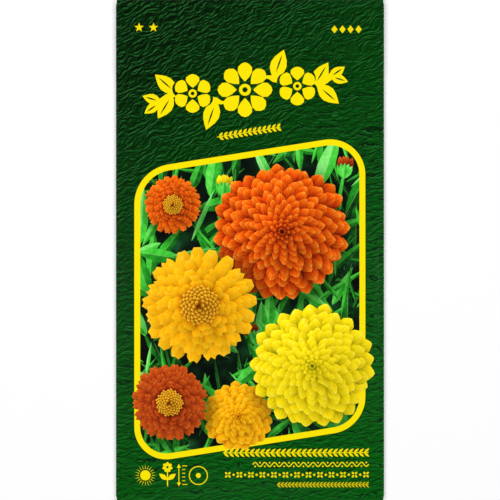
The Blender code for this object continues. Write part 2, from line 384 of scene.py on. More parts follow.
def leaf_ink(name, shades):
    """A leaf from its shaded to its lit half, with a pale midrib and eleven pairs of slanting side veins."""
    made, add, place = sheet_material(name + ", four-colour print")
    along, across, tone, light_left = own_shape(add)
    from_rib = add("Math ABSOLUTE", across)
    vein = add("Math MULTIPLY", along, 11)
    vein = add("Math MULTIPLY_ADD", from_rib, -2.2, vein)
    vein = add("Math SINE", add("Math MULTIPLY", vein, math.pi))
    vein = add("Math POWER", add("Math ABSOLUTE", vein), 0.35)
    level = add("Math MULTIPLY", add("Math SIGN", across), 0.13)
    level = add("Math MULTIPLY_ADD", tone, 0.85, level)
    level = add("Math MULTIPLY_ADD", vein, 0.1, level)
    patch = add("TexNoise", place, Scale=0.55, Detail=3)
    patch = add("Math MULTIPLY_ADD", patch, 0.5, -0.28)
    level = add("Math ADD", level, patch)
    colour = add("ValToRGB", level, stops=shades)
    rib = add("Math MULTIPLY_ADD", from_rib, -11, 1, use_clamp=True)
    rib = add("Math MULTIPLY", rib, 0.4)
    colour = add("Mix", rib, colour, linear("#94dc74"), data_type="RGBA", out=2)
    printed(add, place, colour, light_left)
    return made


# Between the leaves the print falls off into a green-black shade, in soft patches about 9 mm wide.
shade, add, place = sheet_material("shade under the leaves, four-colour print")
blur = add("TexNoise", place, Scale=0.11, Detail=2)
gloom = [(0.38, "#010502"), (0.52, "#04160a"), (0.64, "#0c3414"), (0.8, "#2c5f44")]
printed(add, place, add("ValToRGB", blur, stops=gloom))

leaves = [(0, "#04260c"), (0.2, "#0d5a16"), (0.42, "#2aa226"), (0.68, "#50dc42"), (1, "#9cf88c")]
orange = [(0.34, "#3c0400"), (0.6, "#9c2000"), (0.8, "#dc4e02"), (0.95, "#f87a12"), (1, "#ffa040")]
golden = [(0.3, "#7a3c00"), (0.55, "#d07c00"), (0.76, "#f8ac04"), (0.95, "#ffc414"), (1, "#ffd44c")]
lemon = [(0.3, "#5c6a02"), (0.55, "#b6a602"), (0.76, "#f0d406"), (0.95, "#ffe81c"), (1, "#fff25e")]
rust = [(0.3, "#2c0602"), (0.55, "#701a04"), (0.76, "#a8360a"), (0.95, "#cc5614"), (1, "#e8843c")]
centres = [(0.1, "#3a1a00"), (0.45, "#8c4a02"), (0.75, "#e09a08"), (1, "#ffd84a")]
inks = [
    ground,
    plain_ink("process yellow ink", "#fae401"),
    shade,
    leaf_ink("leaf greens", leaves),
    petal_ink("orange petals", orange, 1.5),
    petal_ink("golden petals", golden),
    petal_ink("lemon petals", lemon),
    petal_ink("rust petals", rust),
    petal_ink("flower centres", centres),
    plain_ink("cream tint", "#f6efcf"),
    plain_ink("deep green ink", "#0b5a1c"),
    plain_ink("orange tint", "#f08a1c"),
    plain_ink("leaf green tint", "#57a83c"),
]
GROUND, YELLOW, SHADE, LEAF, ORANGE, GOLDEN, LEMON, RUST, CENTRE, CREAM, DEEP, AMBER, LIME = range(len(inks))

# The inner side is bare, matt and felted. Its clumps of fibre are drawn 0.6 mm wide, a few times too coarse.
bare, add, place = sheet_material("uncoated inner side of the paper, and its cut edges")
fibres = add("TexNoise", place, Scale=1.6, Detail=5)
tint = add("ValToRGB", fibres, stops=[(0.3, "#e6e2d6"), (0.7, "#f7f4ec")])
felt = add("Bump", Strength=0.4, Distance=0.00002, Height=fibres)
surface(add, tint, 0.85, 0.2, felt)

# The printing
# What is printed lies on the flat sheet as closed outlines, each over the ones before it. A point is one
# complex number in millimetres, so that a turn is a multiplication. The origin is the front panel's middle.
LIGHT = cmath.rect(1, math.radians(125))
prints = []


def lay(outline, ink, base=0, tip=1, half_width=1, tone=1, inside=None, level=0):
    """Prints a closed outline. base, tip and half_width say how the ink's own pattern lies on it."""
    area = sum((a.conjugate() * b).imag for a, b in zip(outline, outline[1:] + outline[:1]))
    way = (tip - base) / abs(tip - base)
    lit_side = way * 1j if (way * 1j * LIGHT.conjugate()).real > 0 else way * -1j
    mark = SimpleNamespace(outline=outline if area > 0 else outline[::-1], ink=ink, base=base, tone=tone)
    mark.along, mark.across = way / abs(tip - base), lit_side / half_width
    mark.inside, mark.level = inside, level
    prints.append(mark)
    return len(prints) - 1


def lay_blade(
    base, tip, half_width, ink, tone=1, inside=None, level=0, fullest=0.5, roundness=1, steps=6, notch=0
):
    """Prints a leaf or petal, widest at the fullest share of its length, with a notch in its tip."""
    power = math.log(0.5) / math.log(fullest)
    across = (tip - base) / abs(tip - base) * 1j * half_width
    left, right = [], []
    for k in range(1, steps):
        share = (1 - math.cos(math.pi * k / steps)) / 2
        wide = math.sin(math.pi * share**power) ** roundness
        left.append(base + (tip - base) * share + across * wide)
        right.append(base + (tip - base) * share - across * wide)
    outline = [base, *right, tip + (base - tip) * notch, *reversed(left)]
    lay(outline, ink, base, tip, half_width, tone, inside, level)


def disc(centre, radius, corners):
    return [centre + cmath.rect(radius, math.tau * k / corners) for k in range(corners)]


def stroke(path, width):
    """The outline of a line of some width along a path."""
    left, right = [], []
    for k, point in enumerate(path):
        way = path[min(k + 1, len(path) - 1)] - path[max(k - 1, 0)]
        side = way / abs(way) * 1j * width / 2
        left.append(point + side)
        right.append(point - side)
    return left + right[::-1]


def rounded(corners, radii, steps):
    """A polygon's outline with its corners rounded, for corners given anticlockwise."""
    outline = []
    for k, corner in enumerate(corners):
        back, on = corners[k - 1] - corner, corners[(k + 1) % len(corners)] - corner
        half = abs(cmath.phase(back / on)) / 2
        back /= abs(back)
        on /= abs(on)
        centre = corner + (back + on) / abs(back + on) * radii[k] / math.sin(half)
        start = cmath.phase(corner + back * radii[k] / math.tan(half) - centre)
        sweep = math.pi - 2 * half
        outline += [centre + cmath.rect(radii[k], start + sweep * i / steps) for i in range(steps + 1)]
    return outline


def blossom(centre, radius, petals, ink):
    """A plain ornamental flower of separate petals round a dot, which is a ring on the green ground."""
    half_width = radius * 2.2 / petals
    for k in range(petals):
        way = cmath.rect(1, math.tau * k / petals + math.pi / 2)
        foot = centre + way * radius * 0.3
        lay_blade(foot, centre + way * radius, half_width, ink, fullest=0.62, roundness=0.6)
    lay(disc(centre, radius * 0.22, 14), ink)
    if ink == YELLOW:
        lay(disc(centre, radius * 0.1, 10), GROUND)


# The sheet itself comes first, so that only what lies on it is kept: a cross with notched corners.
half_cross = [
    complex(SIDE_CREASE, BACK_END),
    complex(SIDE_CREASE, SIDE_FLAP_LOW),
    complex(SIDE_EDGE, SIDE_FLAP_LOW),
    complex(SIDE_EDGE, SIDE_FLAP_HIGH),
    complex(SIDE_CREASE, SIDE_FLAP_HIGH),
    complex(SIDE_CREASE, CLOSURE_END),
]
lay(half_cross + [-point.conjugate() for point in reversed(half_cross)], GROUND)

# The front's line frame is 1.8 mm wide, with upright sides and a top and bottom that climb to the right. A
# thin dark rim sets it off from the ground.
SLOPE = 0.158
FRAME_RIM = 0.28
FRAME_LINE = 1.78
frame_corners = [34.4 - 53.1j, 34.4 + 34.8j, -34.5 + 23.9j, -34.5 - 64j]
frame_radii = [11, 10.5, 12, 9.5]


def frame_outline(inset):
    """The frame's outline, moved in by inset. Its sloping sides move in by as much across their slope."""
    moved = []
    for corner, x, y in zip(frame_corners, (-1, -1, 1, 1), (1, -1, -1, 1)):
        moved.append(corner + inset * complex(x, x * SLOPE + y * math.hypot(1, SLOPE)))
    return rounded(moved, [radius - inset for radius in frame_radii], 14)


lay(frame_outline(-FRAME_RIM), DEEP, tone=0.35)
lay(frame_outline(0), YELLOW)
window = lay(frame_outline(FRAME_LINE), SHADE)

# The picture in the frame: garden flowers of two kinds, and buds, over lance-shaped leaves, petal by petal.
# Each petal or leaf has a tone of its own, and is lighter on the side of its flower that faces the sun.
LEAVES = 380
ZINNIA_ROWS = ((1, 21), (0.91, 20), (0.8, 18), (0.68, 16), (0.56, 13), (0.46, 10))
FLORETS = 90
GOLDEN_ANGLE = 2.39996
draw = random.Random(7)


def facing_light(way):
    return (way * LIGHT.conjugate()).real


def lay_dahlia(centre, radius, ink, level):
    """Rows of pointed petals, long and open at the rim, short and closed towards the middle."""
    rows = 8 + round(radius / 4)
    for row in range(rows):
        share = row / rows
        reach = radius * (1 - share) ** 1.12
        count = max(5, round((14 + radius * 0.62) * (0.28 + 0.72 * reach / radius)))
        length = min(radius * 0.42, reach * 0.96)
        half_width = 0.6 * math.tau * (reach - 0.32 * length) / count
        turn = draw.random()
        places = list(range(count))
        draw.shuffle(places)
        for k in places:
            way = cmath.rect(1, math.tau * (k + turn + draw.uniform(-0.14, 0.14)) / count)
            tip = centre + way * reach * draw.uniform(0.94, 1.03)
            base = tip - way * cmath.rect(length, draw.uniform(-0.1, 0.1))
            tone = 0.6 + 0.2 * facing_light(way) - 0.14 * share + draw.uniform(-0.12, 0.12)
            lay_blade(base, tip, half_width, ink, tone, level=level, fullest=0.66, roundness=0.8, steps=7)


def lay_zinnia(centre, radius, ink, level):
    """Rows of broad petals with nicked tips about a raised cone of tiny florets."""
    for row, (reach, count) in enumerate(ZINNIA_ROWS):
        half_width = 0.6 * math.tau * radius * reach * 0.74 / count
        turn = draw.random()
        for k in range(count):
            way = cmath.rect(1, math.tau * (k + turn + draw.uniform(-0.12, 0.12)) / count)
            tip = centre + way * radius * reach * draw.uniform(0.95, 1.03)
            base = centre + way * radius * 0.16
            tone = 0.58 + 0.18 * facing_light(way) - 0.03 * row + draw.uniform(-0.12, 0.12)
            notch = draw.uniform(0.03, 0.13)
            lay_blade(base, tip, half_width, ink, tone, None, level, 0.72, 0.55, steps=8, notch=notch)
    size = radius * 0.05
    for k in reversed(range(FLORETS)):
        way = cmath.rect(1, GOLDEN_ANGLE * k)
        middle = centre + way * radius * 0.3 * math.sqrt((k + 0.5) / FLORETS)
        base, tip = middle - way * size, middle + way * size * 1.2
        tone = 0.62 + 0.22 * facing_light(way) + draw.uniform(-0.2, 0.2)
        lay_blade(base, tip, size * 0.8, CENTRE, tone, level=level, roundness=0.5, steps=4)


def lay_bud(foot, tip, ink):
    """A bud on its stalk, with its petals just showing above the green scales."""
    way = (tip - foot) / abs(tip - foot)
    head = tip - way * 5.5
    stalk = stroke([foot, (foot + head) / 2 + way * 0.6j, head + way], 1)
    lay(stalk, LEAF, foot, head, 0.5, 0.55, window)
    for lean in (-0.36, 0.3, -0.12, 0.1, 0):
        lay_blade(head, head + way * cmath.rect(6, lean), 1.25, ink, 0.6 + lean, window, fullest=0.62)
    for lean in (-0.62, 0.62, -0.3, 0.3, 0):
        lay_blade(head - way * 0.8, head + way * cmath.rect(4, lean), 1, LEAF, 0.7 - lean * 0.4, window)


BLOOMS = (
    (lay_zinnia, -23 + 13.5j, 9, ORANGE),
    (lay_dahlia, -3.5 - 49.5j, 10.5, GOLDEN),
    (lay_dahlia, 9.5 + 5.5j, 20.5, ORANGE),
    (lay_zinnia, -15 - 16.5j, 17.5, GOLDEN),
    (lay_zinnia, -24 - 45.5j, 12, RUST),
    (lay_dahlia, 18.5 - 34.5j, 18.5, LEMON),
)
# The leaves point up and to both sides, and the darkest lie at the bottom of the heap.
for number in range(LEAVES):
    base = complex(draw.uniform(-36, 36), draw.uniform(-70, 32))
    length = draw.uniform(9, 19)
    tip = base + cmath.rect(length, math.radians(draw.gauss(90, 48)))
    tone = 0.04 + 0.72 * (number / LEAVES) ** 1.4 + draw.uniform(-0.2, 0.22)
    narrow = draw.random() < 0.4
    half_width = length * (0.045 if narrow else draw.uniform(0.09, 0.14))
    lay_blade(base, tip, half_width, LEAF, tone, window, fullest=draw.uniform(0.35, 0.5), steps=7)
lay_bud(-9 + 6j, -7.5 + 22j, LEMON)
lay_bud(27 + 12j, 28.5 + 27.5j, RUST)
lay_bud(4 - 34j, -0.5 - 22.5j, ORANGE)
for level, (lay_bloom, *bloom) in enumerate(BLOOMS, 1):
    lay_bloom(*bloom, level)

# Above the frame, a scroll of leaves and flowers climbs at the frame's slope over a fine sprig, and two small
# stars and four lozenges stand in the corners.
SCROLL = cmath.rect(1, math.atan(SLOPE))
SCROLL_MIDDLE = -1.5 + 47.8j
SCROLL_WAVE = 26
SCROLL_SWING = 2.3
SPRIG_LEVEL = 35.2


def on_scroll(x):
    """A place on the scroll's wavy stalk, x millimetres along from its middle."""
    return SCROLL_MIDDLE + SCROLL * complex(x, SCROLL_SWING * math.sin(x * math.tau / SCROLL_WAVE))


def clear_blossom(centre, radius, petals):
    """A yellow flower with a rim of the green ground round it."""
    half_width = radius * 2.2 / petals + 0.45
    for k in range(petals):
        tip = centre + cmath.rect(1, math.tau * k / petals + math.pi / 2) * SCROLL * (radius + 0.6)
        lay_blade(centre, tip, half_width, GROUND, fullest=0.62, roundness=0.5, steps=8)
    blossom(centre, radius, petals, YELLOW)


for side in (-1, 1):
    lay(stroke([on_scroll(side * x) for x in np.linspace(5.5, 26.9, 24)], 1.9), YELLOW)
    near_leaf = (9, side, 9.2, 62)
    end_leaves = ((20.4, 1, 8.4, 50), (21.6, -1, 8.4, 50), (25.3, 1, 5.8, 26), (25.9, -1, 5.4, 26))
    for x, up, length, lean in (near_leaf, *end_leaves):
        foot = on_scroll(side * x)
        tip = foot + SCROLL * cmath.rect(length, side * up * math.radians(lean)) * side
        lay_blade(foot, tip, length * 0.27, YELLOW, fullest=0.45, steps=8)
        lay_blade(foot + (tip - foot) * 0.22, foot + (tip - foot) * 0.84, 0.24, GROUND)
    clear_blossom(on_scroll(side * 15.6), 5.8, 6)
clear_blossom(SCROLL_MIDDLE, 8.2, 8)

lay(stroke([complex(x, SPRIG_LEVEL + x * SLOPE) for x in (-9.8, 9)], 0.26), YELLOW, tone=0.9)
for x in np.linspace(-9.2, 8, 13):
    foot = complex(x, SPRIG_LEVEL + x * SLOPE)
    for up in (1, -1):
        lay_blade(foot, foot + SCROLL * complex(1.25, up * 1.15), 0.4, YELLOW, 0.9, steps=5)
for x in (-33.1, -28.8):
    rays = [cmath.rect(1.46 * (0.42 if k % 2 else 1), math.pi / 2 + math.pi * k / 5) for k in range(10)]
    lay([complex(x, 66.4) + ray for ray in rays], YELLOW, tone=0.92)
for x in (25.2, 27.6, 30, 32.4):
    lay([x + 65.85j + way for way in (-0.95, -1.2j, 0.95, 1.2j)], YELLOW, tone=0.9)

# Below the frame are signs for full sun, height and planting distance, and four ornamental lines.
SIGN_LEVEL = -67.2j


def sun_sign(centre, ink, size=1):
    lay(disc(centre, 1.55 * size, 20), ink)
    for k in range(20):
        way = cmath.rect(size, math.tau * k / 20)
        lay([centre + way * (1.95 + 0.11j), centre + way * (1.95 - 0.11j), centre + way * 3.3], ink)


def arrow_sign(low, high, ink, width=0.42, head=1):
    """A thin double arrow from low to high."""
    way = (high - low) / abs(high - low)
    lay(stroke([low + way * 0.8, high - way * 0.8], width), ink)
    for point, turn in ((low, head), (high, -head)):
        lay([point, point + way * turn * (1.9 + 0.95j), point + way * turn * (1.9 - 0.95j)], ink)


def plant_sign(foot, height, ink, over=GROUND):
    """A flower with two leaves on a straight stalk."""
    lay(stroke([foot, foot + height * 0.72j], 0.34), ink)
    for side in (-1, 1):
        start = foot + height * 0.26j
        lay_blade(start, start + complex(side * height * 0.35, height * 0.26), height * 0.105, ink)
    top = foot + height * 0.8j
    for k in range(7):
        way = cmath.rect(height * 0.22, math.tau * k / 7 + math.pi / 2)
        lay_blade(top + way * 0.2, top + way, height * 0.072, ink, roundness=0.6)
    lay(disc(top, height * 0.05, 10), over)


def leaf_line(start, length, height, ink, tone=1):
    """A line of small leaves that lean to the right, on a thin stalk."""
    lay(stroke([start, start + length], height * 0.1), ink, tone=tone)
    count = round(length / (height * 0.62))
    for k in range(count):
        foot = start + length * (k + 0.1) / count
        for up in (0.5j, -0.5j):
            lay_blade(foot, foot + height * (0.62 + up), height * 0.15, ink, tone, steps=4)


def dot_line(start, length, height, ink, tone):
    """Small four-petalled flowers with a lozenge between each two."""
    count = round(length / (height * 1.5))
    for k in range(count + 1):
        centre = start + length * k / count
        for quarter in range(4):
            way = cmath.rect(height * 0.5, math.pi / 2 * quarter + math.pi / 4)
            lay_blade(centre + way * 0.18, centre + way, height * 0.15, ink, tone, roundness=0.6, steps=4)
        if k < count:
            middle, size = centre + length / count / 2, height * 0.2
            lay([middle - size, middle - size * 1j, middle + size, middle + size * 1j], ink, tone=tone)


def wave_line(start, length, height, ink, tone=1):
    """A fine wave with a dot in each of its hollows."""
    waves = round(length / (height * 1.35))
    step = length / waves
    rises = [height * 0.3 * math.sin(math.tau * k / 8) for k in range(waves * 8 + 1)]
    path = [start + complex(step * k / 8, rise) for k, rise in enumerate(rises)]
    lay(stroke(path, height * 0.17), ink, tone=tone)
    for k in range(waves):
        for part, up in ((0.25, -0.26), (0.75, 0.26)):
            lay(disc(start + complex(step * (k + part), up * height), height * 0.13, 8), ink, tone=tone)


sun_sign(-31.2 + SIGN_LEVEL, YELLOW)
plant_sign(-24.6 - 70.4j, 7.1, YELLOW)
arrow_sign(-21.2 - 70.5j, -21.2 - 63.7j, YELLOW, 0.26, 0.62)
for k in range(6):
    mark_start = complex(-20.2, -69.9 + k * 1.12)
    lay(stroke([mark_start, mark_start + (0.9 if k % 5 else 1.5)], 0.3), YELLOW, tone=0.8)
for radius, corners, ink in ((2.85, 28, YELLOW), (2.56, 28, GROUND), (0.75, 14, YELLOW)):
    lay(disc(-15.4 + SIGN_LEVEL, radius, corners), ink)
leaf_line(-8 - 60.4j, 43.4, 2.5, YELLOW, 0.95)
wave_line(0.8 - 63.9j, 34.6, 2.1, YELLOW, 0.9)
dot_line(-6.6 - 67j, 41.2, 2.3, YELLOW, 0.9)
leaf_line(8 - 70j, 27.4, 1.7, YELLOW, 0.66)

# On the back, a cream panel carries a sowing calendar by month number, signs, and ruled lines to write on.
# Seen from behind, left and right change over, so its places are turned half round onto the flat sheet.
SIGN_ROW = 25j
CALENDAR, MONTH, ROW = -21 + 14j, 4.3, 6.4j
FIGURE_SIZE = 3.151
RULED_TOP, RULED_GAP = -21j, 6.6j
back_start = len(prints)


def box_outline(low, high, radius=0):
    corners = [low, complex(high.real, low.imag), high, complex(low.real, high.imag)]
    return rounded(corners, [radius] * 4, 6) if radius else corners


def fold_over(first, turn):
    """Turns what was printed from the first number on half round, onto a panel that is folded to the back."""
    for mark in prints[first:]:
        mark.outline = [turn - point for point in mark.outline]
        mark.base, mark.along, mark.across = turn - mark.base, -mark.along, -mark.across


lay(box_outline(-34 - 68.5j, 34 + 46j, 5), YELLOW)
lay(box_outline(-33.2 - 67.7j, 33.2 + 45.2j, 4.2), CREAM)
leaf_line(-22 + 39j, 44, 3.6, DEEP)
lay(disc(39j, 5.6, 30), CREAM)
blossom(39j, 4.6, 8, DEEP)
for x, sign in ((-24, "sun"), (-8, "height"), (8, "distance"), (24, "depth")):
    middle = x + SIGN_ROW
    lay(disc(middle, 6.2, 36), DEEP)
    lay(disc(middle, 5.7, 36), CREAM)
    if sign == "sun":
        sun_sign(middle, AMBER, 1.35)
    elif sign == "height":
        plant_sign(middle - 1.4 - 3.8j, 7.8, DEEP, CREAM)
        arrow_sign(middle + 2.3 - 3.8j, middle + 2.3 + 3.8j, DEEP)
    elif sign == "distance":
        plant_sign(middle - 2.7 - 2j, 5.6, DEEP, CREAM)
        plant_sign(middle + 2.7 - 2j, 5.6, DEEP, CREAM)
        arrow_sign(middle - 3.4 - 3.1j, middle + 3.4 - 3.1j, DEEP, 0.32)
    else:
        lay(stroke([middle - 4.2 + 1.6j, middle + 4.2 + 1.6j], 0.5), DEEP)
        lay_blade(middle - 2.6 - 2.4j, middle + 0.6 - 2.4j, 0.9, DEEP)
        arrow_sign(middle + 2.4 - 3j, middle + 2.4 + 1.3j, DEEP, 0.32)

for month in range(12):
    middle, half = CALENDAR + MONTH * (month + 0.5), MONTH * 0.46 + 2.3j
    lay(box_outline(middle - half, middle + half), DEEP)
    letters = bpy.data.curves.new("figures", "FONT")
    letters.body, letters.size, letters.resolution_u = str(month + 1), FIGURE_SIZE, 3
    letters.align_x = letters.align_y = "CENTER"
    shape = bpy.data.meshes.new_from_object(bpy.data.objects.new("figures", letters))
    for face in shape.polygons:
        if face.area > 0.003:
            lay([middle + complex(*shape.vertices[k].co.xy) for k in face.vertices], CREAM)
    bpy.data.meshes.remove(shape)
    bpy.data.curves.remove(letters)
for row, (first, last, ink) in enumerate(((3, 4, AMBER), (5, 6, LIME), (7, 10, YELLOW)), 1):
    start = CALENDAR - ROW * row
    lay(stroke([start - ROW / 2, start + 12 * MONTH - ROW / 2], 0.22), DEEP)
    lay(box_outline(start + MONTH * (first - 1) - 1.5j, start + MONTH * last + 1.5j, 1.2), ink)
    sign = start - 5.2
    if row == 1:
        lay([sign + 1.8 + 0.9j, sign - 1.8 + 0.9j, sign - 1.2 - 2.2j, sign + 1.2 - 2.2j], DEEP)
        lay(box_outline(sign - 2.2 + 1.1j, sign + 2.2 + 2j), DEEP)
    elif row == 2:
        lay_blade(sign - 1.8j, sign + 2.3 + 1.3j, 0.8, DEEP)
        lay_blade(sign - 1.8j, sign - 2.3 + 1.3j, 0.8, DEEP)
        lay(stroke([sign - 2.6 - 2j, sign + 2.6 - 2j], 0.4), DEEP)
    else:
        blossom(sign, 2.4, 7, DEEP)
for number in range(6):
    middle = RULED_TOP - RULED_GAP * number
    lay(stroke([middle - 27, middle + 27], 0.24), DEEP)
wave_line(-24 - 61.6j, 48, 2.2, DEEP)
fold_over(back_start, complex(0, -2 * BOTTOM_CREASE - BOTTOM_FOLD))

# The closure flap, which is folded to the back too, has a small flower between two rows of leaves.
closure_start = len(prints)
for side in (-1, 1):
    for k in range(5):
        foot = complex(side * 1.6, 66) + side * 2.9 * k
        for up in (1.7j, -1.7j):
            lay_blade(foot, foot + side * 3.6 + up, 0.75, YELLOW)
blossom(66j, 3.4, 8, YELLOW)
fold_over(closure_start, complex(0, 2 * TOP_CREASE + TOP_FOLD))

# The sheet's mesh
# All outlines meet in one flat net. Each of its triangles takes the uppermost ink, where the picture's plants
# end at its edge and nothing lies off the sheet. A second net keeps only the borders that show, the creases
# and an even spread of points. It is folded, and gets half of the paper's thickness to each side.
FOLD_STEPS = 8
SIDE_FOLD_STEPS = 6
SPREAD = 2.3
CLEAR = 0.35 * SPREAD
SAME_POINT = 1e-5
SAME_BORDER = 0.003
points, faces = [], []
for mark in prints:
    faces.append(list(range(len(points), len(points) + len(mark.outline))))
    points += [Vector((p.real, p.imag)) for p in mark.outline]
drawn_points, _, drawn_cells, _, _, covers = delaunay_2d_cdt(points, [], faces, 0, SAME_POINT, True)
drawn_tops, beside = [], {}
for over in covers:
    shown = [k for k in over if 0 in over and prints[k].inside in (None, *over)]
    drawn_tops.append(max(shown, default=-1))
for cell, top in zip(drawn_cells, drawn_tops):
    for a, b in zip(cell, cell[1:] + cell[:1]):
        beside.setdefault((min(a, b), max(a, b)), []).append(top)
borders = [pair for pair, tops in beside.items() if len(set(tops)) > 1 or len(tops) == 1 and tops[0] >= 0]
new_place = {old: new for new, old in enumerate(dict.fromkeys(k for pair in borders for k in pair))}
points = [drawn_points[old] for old in new_place]
lines = [(new_place[a], new_place[b]) for a, b in borders]


def add_line(a, b):
    """Makes the net keep a straight line."""
    points.extend((Vector((a.real, a.imag)), Vector((b.real, b.imag))))
    lines.append((len(points) - 2, len(points) - 1))


def add_level_line(v, half_width=SIDE_CREASE):
    add_line(complex(-half_width, v), complex(half_width, v))


for k in range(FOLD_STEPS + 1):
    add_level_line(-BOTTOM_CREASE - BOTTOM_FOLD * k / FOLD_STEPS)
    add_level_line(TOP_CREASE + TOP_FOLD * k / FOLD_STEPS)
for side in (-1, 1):
    for k in range(SIDE_FOLD_STEPS + 1):
        u = side * (SIDE_CREASE + SIDE_FOLD * k / SIDE_FOLD_STEPS)
        add_line(complex(u, SIDE_FLAP_LOW), complex(u, SIDE_FLAP_HIGH))
for row in range(1, round(CLOSURE_FLAP / SPREAD)):
    add_level_line(TOP_CREASE + TOP_FOLD + row * SPREAD)
step_rows = []
for k in range(FOLD_STEPS + 1):
    y = STEP_START + (STEP_END - STEP_START) * k / FOLD_STEPS
    for v in (y, -BOTTOM_CREASE - BOTTOM_FOLD - (y + BOTTOM_CREASE)):
        add_level_line(v, SIDE_EDGE if v > 0 else SIDE_CREASE)
        step_rows.append(v)
        for column in range(-16, 17):
            points.append(Vector((column * SPREAD, v)))
for row in range(int((CLOSURE_END - BACK_END) / SPREAD)):
    v = BACK_END + (row + 0.5) * SPREAD
    if min(abs(v - other) for other in step_rows) < CLEAR or v > TOP_CREASE:
        continue
    for column in range(int(2 * SIDE_EDGE / SPREAD)):
        u = -SIDE_EDGE + (column + 0.5 + 0.5 * (row % 2)) * SPREAD
        if min(abs(abs(u) - SIDE_CREASE), abs(v + BOTTOM_CREASE), abs(v - TOP_CREASE)) > CLEAR:
            points.append(Vector((u, v)))
net, _, cells, _, _, _ = delaunay_2d_cdt(points, lines, [], 0, SAME_BORDER, False)
drawn = BVHTree.FromPolygons([(*p, 0) for p in drawn_points], drawn_cells)
kept = []
for cell in cells:
    middle = sum((net[k] for k in cell), Vector((0, 0))) / 3
    found = drawn.ray_cast(Vector((*middle, 1)), Vector((0, 0, -1)))[2]
    if found is not None and drawn_tops[found] >= 0:
        kept.append((cell, prints[drawn_tops[found]]))
used = sorted({k for cell, _ in kept for k in cell})
new_place = {old: new for new, old in enumerate(used)}
flat = [complex(*net[k]) for k in used]


def daylight(point, level):
    """How much light reaches a place in the picture past the flowers that stand above it."""
    light = 1
    for number, (_, centre, radius, _) in enumerate(BLOOMS, 1):
        if number > level:
            gap = abs(point - centre + LIGHT * radius * 0.14) / radius
            light = min(light, 0.28 + 0.72 * min(1, max(0, (gap - 0.9) / 0.34)))
    return light


middles = np.array([folded(p.real, p.imag) for p in flat])
half_paper = PAPER / 2 * np.array([outward(p.real, p.imag) for p in flat])
printed_side = [[new_place[k] for k in cell] for cell, _ in kept]
edges = {(a, b) for cell in printed_side for a, b in zip(cell, cell[1:] + cell[:1])}
behind = len(flat)
bare_side = [[k + behind for k in reversed(cell)] for cell in printed_side]
bare_side += [[b, a, a + behind, b + behind] for a, b in sorted(edges) if (b, a) not in edges]

mesh = bpy.data.meshes.new("packet_paper")
places = np.concatenate((middles + half_paper, middles - half_paper)) / 1000
mesh.from_pydata(places, [], printed_side + bare_side)
for ink in inks + [bare]:
    mesh.materials.append(ink)
mesh.polygons.foreach_set("material_index", [mark.ink for _, mark in kept] + [len(inks)] * len(bare_side))
place_data = mesh.attributes.new("flat_mm", "FLOAT_VECTOR", "POINT").data
place_data.foreach_set("vector", [value for p in flat + flat for value in (p.real, p.imag, 0)])
shape_values, light_values = [], []
for cell, mark in kept:
    in_picture = mark.inside == window or mark.level > 0
    for k in cell:
        point = complex(*net[k])
        offset = point - mark.base
        shape_values += [(offset * way.conjugate()).real for way in (mark.along, mark.across)] + [mark.tone]
        light_values.append(daylight(point, mark.level) if in_picture else 1)
bare_corners = sum(len(face) for face in bare_side)
shape_values += [0, 0, 1] * bare_corners
light_values += [1] * bare_corners
mesh.attributes.new("own_shape", "FLOAT_VECTOR", "CORNER").data.foreach_set("vector", shape_values)
mesh.attributes.new("daylight", "FLOAT", "CORNER").data.foreach_set("value", light_values)

paper = bpy.data.objects.new("packet_paper", mesh)
scene.collection.objects.link(paper)
mesh.shade_smooth()
mesh.set_sharp_from_angle(angle=math.radians(50))

# The printed front takes most of the sheet's texture map, then the back, with the bare side in a strip. A row
# holds a part's middle and width on the map, its half width on the sheet, its foot and height on the map, and
# its start and end on the sheet.
front_map = (0.3, 0.58, SIDE_EDGE, 0.08, 0.91, -BOTTOM_CREASE, TOP_CREASE)
back_map = (0.802, 0.38, SIDE_CREASE, 0.08, 0.79, BACK_END, -BOTTOM_CREASE)
closure_map = (0.802, 0.38, SIDE_CREASE, 0.89, 0.1, TOP_CREASE, CLOSURE_END)
bake = mesh.uv_layers.new(name="OFBake").data
place_data = mesh.attributes["flat_mm"].data
for face in mesh.polygons:
    spots = [place_data[k].vector for k in face.vertices]
    v = sum(spot.y for spot in spots) / len(spots)
    part = closure_map if v > TOP_CREASE else back_map if v < -BOTTOM_CREASE else front_map
    middle, width, half, low, height, start, end = part
    for loop, (u, v, _) in zip(face.loop_indices, spots):
        across, up = u / 2 / SIDE_EDGE, (v - BACK_END) / (CLOSURE_END - BACK_END)
        bake[loop].uv = (0.01 + 0.98 * up, 0.01 + 0.05 * (0.5 + across))
        if face.material_index < len(inks):
            bake[loop].uv = (middle + width * u / 2 / half, low + height * (v - start) / (end - start))
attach(paper, "root")
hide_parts("packet_sheet")

# The adhesive
# Three stripes of dispersion adhesive, 0.04 mm thick once dry, hold both side flaps and the closure flap to
# the back panel. It dries to a clear, faintly yellow, glossy film, with ripples about 1 mm apart.
adhesive, add = new_material("dried dispersion adhesive")
film = add("TexNoise", add("TexCoord", out="Object"), Scale=900, Detail=3)
tint = add("ValToRGB", film, stops=[(0.3, "#d8cfa8"), (0.7, "#efe8cc")])
roughness = add("Math MULTIPLY_ADD", film, 0.3, 0.15)
uneven = add("Bump", Strength=0.5, Distance=0.00003, Height=film)
surface(add, tint, roughness, 0.5, uneven)
for name in ("side_glue_left", "side_glue_right", "closure_glue"):
    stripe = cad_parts[name]
    stripe.data.materials.clear()
    stripe.data.materials.append(adhesive)

